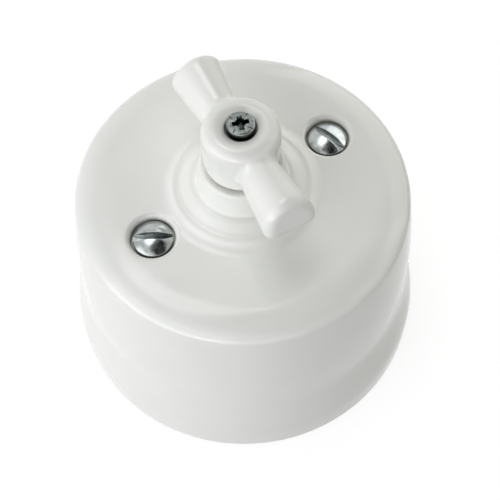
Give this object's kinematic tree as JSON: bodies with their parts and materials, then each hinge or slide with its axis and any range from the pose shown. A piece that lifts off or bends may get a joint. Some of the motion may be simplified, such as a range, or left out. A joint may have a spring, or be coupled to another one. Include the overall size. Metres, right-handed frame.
{
  "type": "porcelain rotary light switch",
  "caption": "Round surface-mounted rotary light switch: glazed porcelain cover with a stepped boss, winged porcelain knob, slotted cover screws and a clicking contact block inside.",
  "frame": {"origin": "centre of the back, where it meets the wall", "axes": "+Z points out of the wall along the spindle; the two cover screws lie on the X axis; the knob's wings rest close to the Y axis"},
  "size_m": [0.075, 0.075, 0.0659],
  "materials": {
    "glazed_porcelain": "clear gloss glaze",
    "base_porcelain": "unglazed",
    "nickel_screw": "bright nickel plate",
    "zinc_screw": "dull zinc plate",
    "brass": "plain drawn brass",
    "brown_moulding": "phenolic moulding",
    "spring_steel": "bright drawn",
    "red_fibre": "vulcanised fibre"
  },
  "bodies": {
    "housing": {"cover": "glazed_porcelain", "base": "base_porcelain", "cover_pillar_left": "brass", "cover_pillar_right": "brass", "cover_screws": "nickel_screw", "pillar_screws": "zinc_screw", "block_screws": "zinc_screw", "switch_block": "brown_moulding", "switch_cap": "brown_moulding", "cap_screws": "zinc_screw", "terminal_1": "brass", "terminal_2": "brass", "terminal_3": "brass", "terminal_4": "brass", "terminal_screws": "zinc_screw", "click_spring_left": "spring_steel", "click_spring_right": "spring_steel"},
    "turning": {"knob": "glazed_porcelain", "knob_screw": "zinc_screw", "knob_washer": "red_fibre", "spindle": "brass", "rotor": "brown_moulding", "contact_bridge": "brass", "spindle_clip": "spring_steel"},
    "click_plunger_left": {"click_plunger_left": "spring_steel"},
    "click_plunger_right": {"click_plunger_right": "spring_steel"}
  },
  "joints": [
    {"name": "knob_turn", "type": "hinge", "parent": "housing", "child": "turning", "pos_m": [0, 0, 0], "axis": [0, 0, 1], "continuous": true},
    {"name": "click_left_lift", "type": "slide", "parent": "housing", "child": "click_plunger_left", "axis": [0, 0, 1], "range_m": [-0.00125, 0], "stiffness_N_per_m": 800, "springref_m": -0.00275, "deforming": ["click_spring_left"]},
    {"name": "click_right_lift", "type": "slide", "parent": "housing", "child": "click_plunger_right", "axis": [0, 0, 1], "range_m": [-0.00125, 0], "stiffness_N_per_m": 800, "springref_m": -0.00275, "deforming": ["click_spring_right"]}
  ]
}
